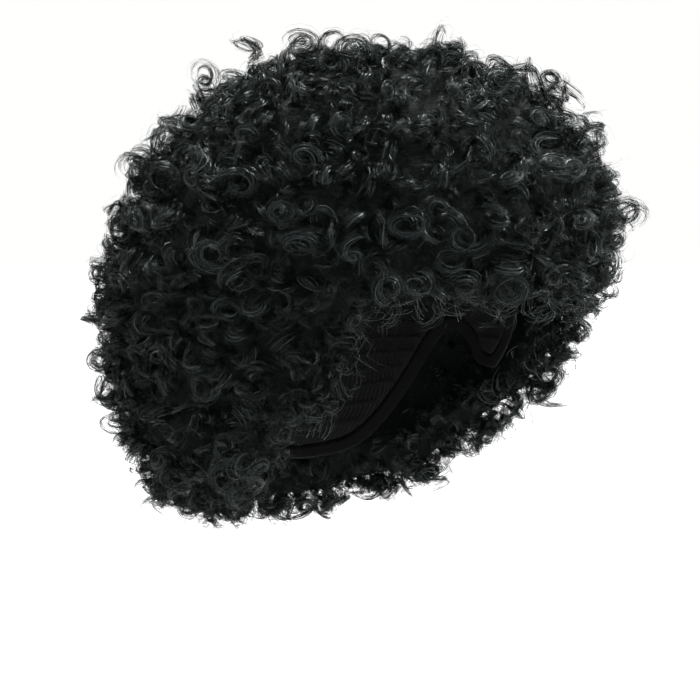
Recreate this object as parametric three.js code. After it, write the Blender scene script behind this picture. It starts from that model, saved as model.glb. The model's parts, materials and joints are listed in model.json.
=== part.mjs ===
// An afro wig as it is worn: a stretch cap, the elastic band round its edge, and seven rows of
// curls that are sewn on the cap, each row a backing with its locks fused to it.
// Millimetres, +Z up. The face looks along -Y and the wearer's left is +X.
// The origin is the inside of the cap's crown, where the top of the head bears.
import * as THREE from "three";

// The head that the cap is made for
const headWidth = 154; // ear to ear
const headLength = 194; // forehead to the back of the head
const crownHeight = 95; // from the widest level of the head up to its top
const napeDepth = 120; // from the widest level down to where the skull's round would close

// The cap and its edge
const capWall = 1.5;
const bandWall = 2;
const bandWidth = 9;
const gap = 0.3; // between the cap and its band
const seatGap = 0.9; // between the band and the rows that are sewn along it

// The hair
const crownHair = 70; // how far the curls stand over the top of the head
const curlHeight = 9; // from the valley between two locks to the crest of a lock
const rowGap = 0.9; // between two rows of curls
const earRoom = 12; // how far the hair stands off the head over an ear

// Every place on the wig is given by two angles, seen from the middle of the head's widest level:
// turn, in degrees from the face round to the back, and down, in degrees from the crown.
const headMiddle = new THREE.Vector3(0, 0, -crownHeight);

// The edge of the cap: forehead, temple, tab before the ear, arch over the ear, nape
const capEdge = [
  { turn: 0, down: 59 },
  { turn: 30, down: 63 },
  { turn: 48, down: 76 },
  { turn: 60, down: 99 },
  { turn: 67, down: 110 },
  { turn: 75, down: 109 },
  { turn: 84, down: 98 },
  { turn: 97, down: 93 },
  { turn: 110, down: 100 },
  { turn: 124, down: 121 },
  { turn: 142, down: 137 },
  { turn: 180, down: 142 },
];

// How deep the hair is over the head, as a share of crownHair, and how much of that share is added
// behind each ear, where the hair is fullest
const hairForm = [
  { down: 0, front: 0.95, side: 0.95, back: 0.95, behindEar: 0 },
  { down: 22, front: 0.98, side: 0.98, back: 1.0, behindEar: 0 },
  { down: 44, front: 1.0, side: 1.05, back: 1.12, behindEar: 0 },
  { down: 65, front: 0.9, side: 1.08, back: 1.19, behindEar: 0 },
  { down: 86, front: 0.52, side: 1.0, back: 1.24, behindEar: 0.04 },
  { down: 103, front: 0.32, side: 0.84, back: 1.22, behindEar: 0.15 },
  { down: 120, front: 0.28, side: 0.72, back: 1.24, behindEar: 0.18 },
  { down: 134, front: 0.28, side: 0.76, back: 1.16, behindEar: 0.08 },
  { down: 147, front: 0.28, side: 0.44, back: 0.74, behindEar: 0 },
];

// The rows of curls, from the crown down. Each starts where the one above it ends. locks is how
// many stand side by side, tiers how many one above the other, and seats how many flats the side
// against the cap has. A row with openTop and openBottom is open at the face, by that turn each
// way from the middle of the face.
const curlRows = [
  { name: "crown_curls", to: 22, tiers: 2, locks: 8, seats: 32 },
  { name: "top_curls", to: 44, tiers: 2, locks: 16, seats: 32 },
  { name: "upper_curls", to: 65, tiers: 2, locks: 24, seats: 24 },
  { name: "fringe_curls", to: 86, tiers: 2, locks: 26, seats: 26 },
  { name: "ear_curls", to: 103, tiers: 2, locks: 20, seats: 20, openTop: 46, openBottom: 54 },
  { name: "side_curls", to: 120, tiers: 2, locks: 17, seats: 17, openTop: 54, openBottom: 62 },
  { name: "nape_curls", to: 147, tiers: 2, locks: 13, seats: 26, openTop: 66, openBottom: 118 },
];
const stepsPerLock = 4; // corners across a lock, each way
const seatLines = 2; // flats down the side of a row that lies against the cap
const tuftShare = 0.35; // of the locks are full tufts, and the others ringlets with a hollow
const ringletHollow = 0.35; // height of a ringlet's middle, as a share of its crest
const tuftPeak = 1.3; // height of a tuft's middle, as a share of its crest
const cornerCrest = 0.75; // height at a lock's corners, as a share of its crest
const valleyShare = 0.4; // of curlHeight lies below the hair's mean surface
const unevenness = 0.35; // how much the locks' heights differ, as a share
const wander = 0.2; // how far a lock's corners stray, as a share of a step
const calmCrown = 16; // degrees from the crown within which the locks, narrow there, stand lower

// Where the ear is, and how far its room reaches round it
const ear = { turn: 95, down: 112, reachTurn: 26, reachDown: 20 };
// The hair thins towards the face: its depth at the very edge, and how far back that is felt
const faceEdge = { share: 0.72, reach: 20 };

const capColumns = 48;
const capLines = 8;

const hairMaterial = new THREE.MeshStandardMaterial({ color: 0x0b0c0d, roughness: 0.55, metalness: 0 });
const netMaterial = new THREE.MeshStandardMaterial({ color: 0x101011, roughness: 0.9, metalness: 0 });
const elasticMaterial = new THREE.MeshStandardMaterial({ color: 0x161617, roughness: 0.8, metalness: 0 });

const radians = THREE.MathUtils.degToRad;

// A smooth curve through one column of a table, level at both ends
function curveThrough(table, key, column) {
  const places = table.map((row) => row[key]);
  const values = table.map((row) => row[column]);
  const curve = new THREE.CubicInterpolant(places, values, 1);
  curve.settings = { endingStart: THREE.ZeroSlopeEnding, endingEnd: THREE.ZeroSlopeEnding };
  const last = places[places.length - 1];
  return (at) => curve.evaluate(Math.min(at, last))[0];
}

const edgeDown = curveThrough(capEdge, "turn", "down");
const depthShare = {
  front: curveThrough(hairForm, "down", "front"),
  side: curveThrough(hairForm, "down", "side"),
  back: curveThrough(hairForm, "down", "back"),
  behindEar: curveThrough(hairForm, "down", "behindEar"),
};

// The same angle on either side of the face, from 0 at the face to 180 at the back
function turnFromFace(turn) {
  const around = ((turn % 360) + 360) % 360;
  return around > 180 ? 360 - around : around;
}

function direction(turn, down) {
  const out = Math.sin(radians(down));
  return new THREE.Vector3(
    out * Math.sin(radians(turn)),
    -out * Math.cos(radians(turn)),
    Math.cos(radians(down)),
  );
}

// The head is two half ellipsoids that meet at its widest level
function headRadius(way) {
  const height = way.z > 0 ? crownHeight : napeDepth;
  return 1 / Math.hypot(way.x / (headWidth / 2), way.y / (headLength / 2), way.z / height);
}

// The point that stands a given height over the head, along a direction from its middle
function overHead(way, height) {
  const unit = way.clone().normalize();
  return unit.multiplyScalar(headRadius(unit) + height).add(headMiddle);
}

// A fixed, even-looking number from 0 to 1 for each whole number pair
function scatter(i, j) {
  const value = Math.sin(i * 12.9898 + j * 78.233) * 43758.5453;
  return value - Math.floor(value);
}

// One closed solid, made of strips of triangles between lines of points
class ClosedSkin {
  corners = [];
  triangles = [];

  line(points) {
    return points.map((point) => {
      this.corners.push(point.x, point.y, point.z);
      return this.corners.length / 3 - 1;
    });
  }

  // Two lines may have different numbers of corners, and a line of one corner is a pole
  strip(first, second) {
    const share = (line, i) => (line.length > 1 ? (i + 1) / (line.length - 1) : Infinity);
    let i = 0;
    let j = 0;
    while (i < first.length - 1 || j < second.length - 1) {
      if (share(first, i) <= share(second, j)) {
        this.triangles.push(first[i], second[j], first[i + 1]);
        i += 1;
      } else {
        this.triangles.push(first[i], second[j], second[j + 1]);
        j += 1;
      }
    }
  }

  geometry() {
    const made = new THREE.BufferGeometry();
    made.setAttribute("position", new THREE.Float32BufferAttribute(this.corners, 3));
    made.setIndex(this.triangles);
    made.computeVertexNormals();
    return made;
  }
}

// A wall between an outer and an inner net of points, each a list of lines from the crown side
// down. A ring's lines close on themselves, and a wall that is open at the face gets end faces.
function wall(outer, inner, isRing) {
  const skin = new ClosedSkin();
  const close = (line) => (isRing && line.length > 1 ? [...line, line[0]] : line);
  const outerLines = outer.map((points) => close(skin.line(points)));
  const innerLines = inner.map((points) => close(skin.line(points)));
  const section = [...outerLines, ...innerLines.toReversed()];
  section.slice(1).forEach((line, i) => skin.strip(section[i], line));
  const hasPole = outer[0].length === 1;
  if (!hasPole) skin.strip(innerLines[0], outerLines[0]);
  if (!isRing) {
    const column = (lines, at) => lines.map((line) => line.at(at));
    skin.strip(column(outerLines, 0), column(innerLines, 0));
    skin.strip(column(innerLines, -1), column(outerLines, -1));
  }
  return skin.geometry();
}

function named(name, geometry, material) {
  const mesh = new THREE.Mesh(geometry, material);
  mesh.name = name;
  return mesh;
}

function capNet(height) {
  const lines = [[overHead(direction(0, 0), height)]];
  for (let j = 1; j <= capLines; j++) {
    lines.push(
      Array.from({ length: capColumns }, (_, i) => {
        const turn = (360 * i) / capColumns;
        return overHead(direction(turn, (edgeDown(turnFromFace(turn)) * j) / capLines), height);
      }),
    );
  }
  return lines;
}

function makeCap() {
  return named("cap", wall(capNet(capWall), capNet(0), true), netMaterial);
}

// A line that follows the cap's edge, a given distance outside it
function besideEdge(distance, height) {
  const onEdge = (turn) => overHead(direction(turn, edgeDown(turnFromFace(turn))), 0);
  return Array.from({ length: capColumns }, (_, i) => {
    const turn = (360 * i) / capColumns;
    const here = onEdge(turn);
    const along = onEdge(turn + 1).sub(onEdge(turn - 1));
    const out = here.clone().sub(headMiddle);
    const away = along.cross(out).normalize();
    return overHead(out.addScaledVector(away, distance), height);
  });
}

function makeBand() {
  const top = gap;
  const bottom = gap + bandWidth;
  const net = (height) => [top, bottom].map((distance) => besideEdge(distance, height));
  return named("edge_band", wall(net(bandWall), net(0), true), elasticMaterial);
}

// How much of the ear's room is felt at a place, from 0 to 1
function earShare(turn, down) {
  const away = Math.hypot(
    (turnFromFace(turn) - ear.turn) / ear.reachTurn,
    (down - ear.down) / ear.reachDown,
  );
  return away < 1 ? (1 - away * away) ** 2 : 0;
}

// The side of the hair that lies against the cap and, below it, against the head. Its flats are
// set out by their own sag, so that their middles clear the cap.
function seatHeight(turn, down, flatTurn, flatDown) {
  const clear = Math.max(capWall, bandWall) + seatGap;
  const sag = 1 / (Math.cos(radians(flatTurn / 2)) * Math.cos(radians(flatDown / 2)));
  const radius = headRadius(direction(turn, down)) + clear;
  return radius * sag - radius + clear + earRoom * earShare(turn, down);
}

// The mean outer surface of the hair, as a height over the head
function hairHeight(turn, down, fromFaceEdge) {
  const c = Math.cos(radians(turnFromFace(turn)));
  const front = Math.max(c, 0) ** 2;
  const back = Math.max(-c, 0) ** 2;
  const side = 1 - front - back;
  const behindEar = 4 * side * back; // 1 half-way between the side and the back
  const share =
    front * depthShare.front(down) +
    side * depthShare.side(down) +
    back * depthShare.back(down) +
    behindEar * depthShare.behindEar(down);
  const inset = 1 - Math.min(fromFaceEdge / faceEdge.reach, 1);
  return crownHair * share * (1 - (1 - faceEdge.share) * inset * inset);
}

// How high a lock stands over the valleys round it: i and j count its corners across and down
function lockHeight(i, j, rowNumber) {
  const tier = Math.floor(j / stepsPerLock);
  const shifted = i + (tier % 2) * (stepsPerLock / 2);
  const across = (2 * (shifted % stepsPerLock)) / stepsPerLock - 1;
  const down = (2 * (j % stepsPerLock)) / stepsPerLock - 1;
  const fromMiddle = Math.max(Math.abs(across), Math.abs(down));
  if (fromMiddle === 1) return 0;
  const lock = Math.floor(shifted / stepsPerLock) + 40 * rowNumber;
  const size = 1 + unevenness * (2 * scatter(lock, tier) - 1);
  if (fromMiddle === 0) return size * (scatter(tier, lock) < tuftShare ? tuftPeak : ringletHollow);
  return size * (across !== 0 && down !== 0 ? cornerCrest : 1);
}

// The turn at which a row starts, at a share of its height: the face's edge, or 0 on a ring
function startTurn(row, share) {
  return row.openTop === undefined ? 0 : THREE.MathUtils.lerp(row.openTop, row.openBottom, share);
}

function rowNet(row, lines, columns, place) {
  const isRing = row.openTop === undefined;
  const net = [];
  for (let j = 0; j <= lines; j++) {
    const down = THREE.MathUtils.lerp(row.from, row.to, j / lines);
    if (down === 0) {
      net.push([place(0, 0, 0, 0, 0)]);
      continue;
    }
    const start = startTurn(row, j / lines);
    const step = (360 - 2 * start) / columns;
    const count = isRing ? columns : columns + 1;
    net.push(
      Array.from({ length: count }, (_, i) => {
        // A ring's own turn starts at the back, where its seam is
        const turn = isRing ? 180 + i * step : start + i * step;
        return place(turn, down, i, j, step);
      }),
    );
  }
  return net;
}

// Moves a point of a row's top or bottom line off its neighbour, at right angles to their joint
function stepApart(point, turn, down, row) {
  const half = rowGap / 2;
  const downhill = direction(turn, down + 90);
  if (down === row.from && down > 0) point.addScaledVector(downhill, half);
  if (down === row.to) point.addScaledVector(downhill, -half);
  return point;
}

function makeCurlRow(row, rowNumber) {
  const isRing = row.openTop === undefined;
  const lines = row.tiers * stepsPerLock;
  const columns = row.locks * stepsPerLock;
  const downStep = (row.to - row.from) / lines;
  const outer = rowNet(row, lines, columns, (turn, down, i, j, turnStep) => {
    const inside = j > 0 && j < lines && (isRing || (i > 0 && i < columns));
    const stray = inside ? wander : 0;
    const placedTurn = turn + stray * turnStep * (2 * scatter(i, j + 9 * rowNumber) - 1);
    const placedDown = down + stray * downStep * (2 * scatter(j + 5 * rowNumber, i) - 1);
    const fromFaceEdge = isRing ? faceEdge.reach : Math.min(i, columns - i) * turnStep;
    const relief = inside ? lockHeight(i, j, rowNumber) * Math.min(down / calmCrown, 1) : 0;
    const height =
      hairHeight(placedTurn, placedDown, fromFaceEdge) + curlHeight * (relief - valleyShare);
    return stepApart(overHead(direction(placedTurn, placedDown), height), turn, down, row);
  });
  const flatDown = (row.to - row.from) / seatLines;
  const inner = rowNet(row, seatLines, row.seats, (turn, down, i, j, turnStep) => {
    const height = seatHeight(turn, down, turnStep * Math.sin(radians(down)), flatDown);
    return stepApart(overHead(direction(turn, down), height), turn, down, row);
  });
  return named(row.name, wall(outer, inner, isRing), hairMaterial);
}

const wig = new THREE.Group();
wig.add(makeCap(), makeBand());
let rowTop = 0;
curlRows.forEach((row, rowNumber) => {
  wig.add(makeCurlRow({ ...row, from: rowTop }, rowNumber));
  rowTop = row.to;
});

export default wig;
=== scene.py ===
# %% [markdown]
# # An afro wig in its worn form
#
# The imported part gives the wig's true form: a cap, the elastic round its edge, and rows of locks.
# This script covers that form with curls that are wound from narrow ribbons: single strands, and cards
# that show several strands each. Every ribbon is real geometry, so the hair looks right from any side.
#
# Lengths are in metres, as Blender has them, and written as a number times MM.

# %% Load the part
import json
import math

import bpy
import numpy as np
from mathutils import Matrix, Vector
from mathutils.bvhtree import BVHTree

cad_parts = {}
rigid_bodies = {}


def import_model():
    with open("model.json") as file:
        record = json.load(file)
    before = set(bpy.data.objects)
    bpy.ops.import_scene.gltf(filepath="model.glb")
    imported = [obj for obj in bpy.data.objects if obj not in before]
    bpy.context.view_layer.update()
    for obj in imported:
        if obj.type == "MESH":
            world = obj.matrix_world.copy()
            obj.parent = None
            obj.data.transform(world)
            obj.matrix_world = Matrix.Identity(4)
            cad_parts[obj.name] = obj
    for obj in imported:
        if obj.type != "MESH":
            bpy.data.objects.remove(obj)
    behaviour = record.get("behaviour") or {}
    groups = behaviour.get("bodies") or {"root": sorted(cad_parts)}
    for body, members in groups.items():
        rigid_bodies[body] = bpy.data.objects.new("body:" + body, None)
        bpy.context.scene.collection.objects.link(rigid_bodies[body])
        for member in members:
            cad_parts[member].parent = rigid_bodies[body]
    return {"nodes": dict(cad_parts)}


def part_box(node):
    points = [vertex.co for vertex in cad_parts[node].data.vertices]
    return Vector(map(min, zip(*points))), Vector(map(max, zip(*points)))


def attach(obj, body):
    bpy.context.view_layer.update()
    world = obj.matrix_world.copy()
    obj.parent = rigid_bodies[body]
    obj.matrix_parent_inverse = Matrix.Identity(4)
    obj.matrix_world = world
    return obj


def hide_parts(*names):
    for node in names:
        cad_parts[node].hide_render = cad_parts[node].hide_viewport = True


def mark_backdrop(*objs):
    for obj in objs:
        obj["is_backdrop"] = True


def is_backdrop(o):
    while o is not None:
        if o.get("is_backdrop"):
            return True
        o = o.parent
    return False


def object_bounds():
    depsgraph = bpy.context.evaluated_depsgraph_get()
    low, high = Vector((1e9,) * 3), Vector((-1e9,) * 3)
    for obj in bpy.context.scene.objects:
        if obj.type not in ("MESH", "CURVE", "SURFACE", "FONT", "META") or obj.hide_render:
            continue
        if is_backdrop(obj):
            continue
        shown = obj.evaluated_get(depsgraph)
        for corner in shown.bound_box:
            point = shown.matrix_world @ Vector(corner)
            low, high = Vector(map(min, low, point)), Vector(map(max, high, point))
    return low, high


MM = 0.001
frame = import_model()
nodes = frame["nodes"]
bounds_at_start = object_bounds()
rows = sorted((name for name in nodes if name.endswith("_curls")), key=lambda name: -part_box(name)[1].z)
print("rows of curls:", rows)

# %% [markdown]
# ## Where the middle of the head is
#
# The cap's wearer has their crown at the origin. The middle of the head's widest level is below it,
# at the height where the cap is widest. Directions from there point outwards through the hair.

# %% The middle of the head
cap_points = np.array([v.co for v in nodes["cap"].data.vertices])
widest = cap_points[np.abs(cap_points[:, 0]) > 0.995 * np.abs(cap_points[:, 0]).max()]
HEAD_MIDDLE = np.array([0.0, 0.0, widest[:, 2].mean()])
print("head's middle:", HEAD_MIDDLE.round(4))


# %% [markdown]
# ## Tools for meshes made from arrays
#
# A big mesh is quickest to make from numpy arrays: one of points, one of the faces' corners.

# %% Mesh tools
def mesh_object(name, points, faces, materials=(), uv=None, which=None):
    """A new smooth object. A row of faces is one face's corners, and which gives each its material."""
    mesh = bpy.data.meshes.new(name)
    count, corners = faces.shape
    mesh.vertices.add(len(points))
    mesh.vertices.foreach_set("co", np.asarray(points, np.float32).ravel())
    mesh.loops.add(faces.size)
    mesh.loops.foreach_set("vertex_index", np.asarray(faces, np.int32).ravel())
    mesh.polygons.add(count)
    mesh.polygons.foreach_set("loop_start", np.arange(count, dtype=np.int32) * corners)
    for material in materials:
        mesh.materials.append(material)
    if which is not None:
        mesh.polygons.foreach_set("material_index", np.asarray(which, np.int32))
    if uv is not None:
        layer = mesh.uv_layers.new(name="UVMap")
        layer.data.foreach_set("uv", np.asarray(uv, np.float32)[faces.ravel()].ravel())
    mesh.update(calc_edges=True)
    mesh.shade_smooth()
    obj = bpy.data.objects.new(name, mesh)
    bpy.context.scene.collection.objects.link(obj)
    return obj


def arrays(mesh):
    """The points, triangles and point normals of a mesh."""
    mesh.calc_loop_triangles()
    points = np.empty(len(mesh.vertices) * 3, np.float32)
    mesh.vertices.foreach_get("co", points)
    normals = np.empty(len(mesh.vertices) * 3, np.float32)
    mesh.vertices.foreach_get("normal", normals)
    triangles = np.empty(len(mesh.loop_triangles) * 3, np.int32)
    mesh.loop_triangles.foreach_get("vertices", triangles)
    return points.reshape(-1, 3).astype(float), triangles.reshape(-1, 3), normals.reshape(-1, 3).astype(float)


def joined(names):
    """The points and triangles of several CAD nodes together."""
    points, triangles, count = [], [], 0
    for name in names:
        own_points, own_triangles, _ = arrays(nodes[name].data)
        points.append(own_points)
        triangles.append(own_triangles + count)
        count += len(own_points)
    return np.concatenate(points), np.concatenate(triangles)


def tree_of(names):
    """A search tree over CAD nodes, for the nearest point and for rays."""
    points, triangles = joined(names)
    return BVHTree.FromPolygons([Vector(p) for p in points], triangles.tolist())


def unit(vectors):
    """Each vector at length one."""
    return vectors / np.maximum(np.linalg.norm(vectors, axis=-1, keepdims=True), 1e-12)


# %% [markdown]
# ## The hair's envelope
#
# The rows of locks are joined and made into one skin of small equal faces, which closes the thin gaps
# between them. A little smoothing keeps the lumps that the locks make and takes off their sharp edges.

# %% The envelope
def envelope(names, face_size, smoothing):
    """One even skin round several nodes: its points, triangles and normals."""
    points, triangles = joined(names)
    obj = mesh_object("envelope", points, triangles)
    remesh = obj.modifiers.new("Remesh", "REMESH")
    remesh.mode = "VOXEL"
    remesh.voxel_size = face_size
    smooth = obj.modifiers.new("Smooth", "SMOOTH")
    smooth.factor = 0.5
    smooth.iterations = smoothing
    evaluated = obj.evaluated_get(bpy.context.evaluated_depsgraph_get())
    result = arrays(evaluated.to_mesh())
    evaluated.to_mesh_clear()
    bpy.data.objects.remove(obj)
    return result


SKIN_FACE = 5 * MM
SKIN_SMOOTHING = 4

skin_points, skin_triangles, skin_normals = envelope(rows, SKIN_FACE, SKIN_SMOOTHING)
print("envelope:", len(skin_triangles), "triangles")

# %% [markdown]
# A second skin, smoothed until its locks are gone, tells which places are crests and which valleys.

# %% Crests and valleys
EVEN_FACE = 8 * MM
EVEN_SMOOTHING = 30
MOST_RELIEF = 6 * MM

even_points, even_triangles, _ = envelope(rows, EVEN_FACE, EVEN_SMOOTHING)
even_skin = BVHTree.FromPolygons([Vector(p) for p in even_points], even_triangles.tolist())


def relief(places, ways):
    """How far each place stands over the even skin, along the way that its surface looks."""
    nearest = np.array([even_skin.find_nearest(Vector(p))[0] for p in places])
    return np.clip(((places - nearest) * ways).sum(1), -MOST_RELIEF, MOST_RELIEF)


crests = relief(skin_points, skin_normals)
print("crests and valleys, mm:", np.percentile(crests / MM, (5, 50, 95)).round(1))


# %% [markdown]
# ## Where each curl sits
#
# Spots are dropped on the envelope at random, and one that lands too near another is thrown away.
# That spreads them evenly without any pattern. No curl sits where the cap lies against the hair.

# %% Spread the curls
rng = np.random.default_rng(11)
TRIES = 7  # spots dropped for each one that could find room


def spread(points, triangles, normals, spacing):
    """Evenly spread (point, normal) pairs on a surface, none nearer than spacing to another."""
    a, b, c = (points[triangles[:, i]] for i in range(3))
    areas = np.linalg.norm(np.cross(b - a, c - a), axis=1) / 2
    count = int(areas.sum() / spacing**2 * TRIES)
    chosen = rng.choice(len(triangles), count, p=areas / areas.sum())
    weights = rng.dirichlet((1, 1, 1), count)[:, :, None]
    corners = triangles[chosen]
    spots = (points[corners] * weights).sum(1)
    ways = unit((normals[corners] * weights).sum(1))
    cells, kept = {}, []
    around = [(i, j, k) for i in (-1, 0, 1) for j in (-1, 0, 1) for k in (-1, 0, 1)]
    for n, spot in enumerate(spots):
        cell = tuple(np.floor(spot / spacing).astype(int))
        near = [m for d in around for m in cells.get((cell[0] + d[0], cell[1] + d[1], cell[2] + d[2]), ())]
        if near and (np.linalg.norm(spots[near] - spot, axis=1) < spacing).any():
            continue
        cells.setdefault(cell, []).append(n)
        kept.append(n)
    return spots[kept], ways[kept]


CURL_SPACING = 12.4 * MM
CAP_CLEARANCE = 6 * MM
OUTER_FACING = 0.3  # a spot that faces outwards at least this much lies on the hair's outside

spots, ways = spread(skin_points, skin_triangles, skin_normals, CURL_SPACING)
cap_tree = tree_of(["cap", "edge_band"])
off_cap = np.array([cap_tree.find_nearest(Vector(p))[3] for p in spots]) > CAP_CLEARANCE
spots, ways = spots[off_cap], ways[off_cap]
outward = unit(spots - HEAD_MIDDLE)
facing = (outward * ways).sum(1)
is_outer = facing > OUTER_FACING
print("curls:", len(spots), "of them outside:", is_outer.sum())

# %% [markdown]
# Curls gather in puffs. A puff's middle stands out and the curls round it splay away from it, which
# leaves dark valleys between one puff and the next.

# %% Gather the curls in puffs
PUFF_SPACING = 27 * MM
PUFF_REACH = 15 * MM
PUFF_RISE = 6 * MM
PUFF_TOP = 0.5  # a share of PUFF_RISE, as the next one is
PUFF_VALLEY = -0.8
PUFF_SPLAY = 0.7

puff_spots, _ = spread(skin_points, skin_triangles, skin_normals, PUFF_SPACING)
to_puffs = np.linalg.norm(spots[:, None, :] - puff_spots[None, :, :], axis=2)
from_puff = spots - puff_spots[to_puffs.argmin(1)]
fall = to_puffs.min(1) / PUFF_REACH
puff_lift = np.where(is_outer, PUFF_RISE * np.maximum(PUFF_TOP - fall**2, PUFF_VALLEY), 0)
splay = np.where(is_outer, PUFF_SPLAY, 0)[:, None]
ways = unit(ways + splay * from_puff / PUFF_REACH)
lowest, highest = puff_lift.min() / MM, puff_lift.max() / MM
print("puffs:", len(puff_spots), "lift, mm:", lowest.round(1), highest.round(1))

# %% [markdown]
# Each curl belongs to the row of locks that is nearest to it, on the right or the left side.

# %% Share the curls among the rows
row_trees = [tree_of([name]) for name in rows]


def nearest_row(places):
    """The number of the row that lies nearest to each place."""
    reach = np.array([[tree.find_nearest(Vector(p))[3] for tree in row_trees] for p in places])
    return reach.argmin(1)


row_of = nearest_row(spots)
side_of = (spots[:, 0] > 0).astype(int)
print("curls in each row:", np.bincount(row_of))


# %% [markdown]
# ## A curl
#
# A curl is a loose band of strands that leave the hair together and wind round one axis. They do so in
# a few thin bundles, each at its own distance from the axis, so a curl seen from the end shows fine
# rings inside one another. The middle of the winding drifts, which keeps the loops apart. Some curls
# look outwards, and more of them lie on their side, as arches and corkscrews.

# %% The plan of the curls
BUNDLES = 6
PROUD_SHARE = 0.12
LYING_TILT = 55  # degrees between a curl's axis and its way out, past which the curl lies down
OUTER_RADIUS = (6.5, 9.4, 12.5)  # least, commonest and most, in millimetres
INNER_RADIUS = (4.5, 5.5, 7.0)
TURN_RANGE = (0.95, 1.3, 2.0)  # least, commonest and most turns of a curl


def across(axes):
    """Two directions square to each axis and to each other."""
    helper = np.where(np.abs(axes[:, 2:]) < 0.8, np.array([[0.0, 0.0, 1.0]]), np.array([[1.0, 0.0, 0.0]]))
    first = unit(np.cross(axes, helper))
    return first, np.cross(axes, first)


def spin(first, second, angle):
    """A direction between two others, at an angle from the first."""
    return first * np.cos(angle)[:, None] + second * np.sin(angle)[:, None]


def curl_plan(ways, is_outer, proud_share=PROUD_SHARE):
    """The sizes of each curl, one entry of every array for each. Ranges are in mm, results in metres."""
    count = len(ways)
    first, second = across(ways)
    heading = spin(first, second, rng.uniform(0, 2 * math.pi, count))
    tilt = np.degrees(np.arccos(rng.uniform(0.15, 1, count)))
    lies = tilt > LYING_TILT
    tilt = np.radians(tilt)[:, None]
    is_proud = is_outer & (rng.random(count) < proud_share)
    radius = np.where(is_outer, rng.triangular(*OUTER_RADIUS, count), rng.triangular(*INNER_RADIUS, count))
    rise = np.where(is_outer, rng.uniform(0.0, 5.0, count), rng.uniform(-1.0, 2.0, count))
    drift = unit(spin(first, second, rng.uniform(0, 2 * math.pi, count)) + np.array([0, 0, -0.5]))
    split = (count, BUNDLES)
    ring = (np.arange(BUNDLES) + 0.5 + rng.normal(0, 0.2, split)) / BUNDLES
    return {
        "bundle_share": 0.45 + 0.62 * ring,
        "bundle_angle": rng.normal(0, 0.35, split),
        "bundle_beside": rng.uniform(-1.8, 1.8, split) * MM,
        "bundle_scatter": rng.normal(0, 0.09, (*split, 3)),
        "axis": unit(ways * np.cos(tilt) + heading * np.sin(tilt)),
        "drift": drift * rng.uniform(2, 12, (count, 1)) * MM,
        "sway": rng.normal(0, 0.9 * MM, (count, 3)),
        "length": np.where(lies, rng.uniform(3, 11, count), rng.uniform(0, 3, count)) * MM,
        "radius": (radius + np.where(is_proud, 1.5, 0)) * MM,
        "turns": rng.triangular(*TURN_RANGE, count) * rng.choice((-1, 1), count),
        "phase": rng.uniform(0, 2 * math.pi, count),
        "tip": rng.uniform(0.55, 1.0, count),
        "dome": np.where(lies, 0, rng.uniform(0.2, 0.7, count)),
        "depth": np.where(is_outer, rng.uniform(7, 12, count), rng.uniform(4, 8, count)) * MM,
        "rise": (rise + np.where(is_proud, rng.uniform(2.5, 6.5, count), 0)) * MM,
        "oval": rng.uniform(0.7, 1.0, count),
    }


# %% [markdown]
# A strand follows its bundle round the axis while it climbs out of the hair, so its line is a sum: the
# climb, the winding, a shift along the axis and a slow drift. All strands are worked out at once, as
# arrays with a place for each curl, strand and step, because a loop over them would take minutes.

# %% The lines of the strands
NARROWEST = 0.8 * MM


def smooth_step(t):
    """0 before 0, 1 after 1, and a soft rise between them."""
    t = np.clip(t, 0, 1)
    return t * t * (3 - 2 * t)


def winding(column, share, bundle_angle, t, loose):
    """Each strand's angle round the axis and its distance from it, at every step."""
    each = share.shape
    turns = column["turns"] * rng.normal(1, 0.05 * loose, each)
    angle = column["phase"] + bundle_angle + rng.normal(0, 0.12 * loose, each) + 2 * math.pi * turns * t
    grown = 0.3 + 0.7 * smooth_step(t / 0.25)
    radius = column["radius"] * grown * (1 - (1 - column["tip"]) * smooth_step((t - 0.2) / 0.8))
    crimp = np.sin(t * rng.uniform(6, 16, each) + rng.uniform(0, 2 * math.pi, each))
    return angle, np.maximum(radius * share + 0.2 * MM * loose * crimp, NARROWEST)


def own_plane(axes, scatter):
    """Each strand's own axis, a little off the curl's, and two directions square to it."""
    first = across(axes)[0][:, None, None, :]
    own = unit(axes[:, None, None, :] + scatter)
    first = unit(first - own * (first * own).sum(-1, keepdims=True))
    return own, first, np.cross(own, first)


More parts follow.
